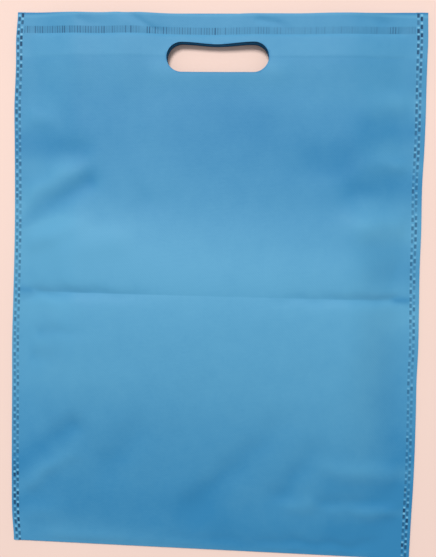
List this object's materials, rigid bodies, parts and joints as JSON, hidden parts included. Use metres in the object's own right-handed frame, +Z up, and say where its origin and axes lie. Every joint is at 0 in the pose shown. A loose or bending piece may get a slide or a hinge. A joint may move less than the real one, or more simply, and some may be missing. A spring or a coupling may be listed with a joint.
{
  "type": "non-woven die-cut carrier bag",
  "caption": "Flat carrier bag of non-woven cloth with a punched hand slot, welded sides and a folded, welded mouth hem, lying empty.",
  "frame": {"origin": "on the surface under the middle of the bag, at the bottom centre of its box", "axes": "+X across the bag, +Y from the bottom fold to the mouth, +Z up out of the front panel"},
  "size_m": [0.3091, 0.406, 0.0124],
  "materials": {
    "cloth": "matte"
  },
  "bodies": {
    "root": {"bag": "cloth"}
  },
  "joints": []
}
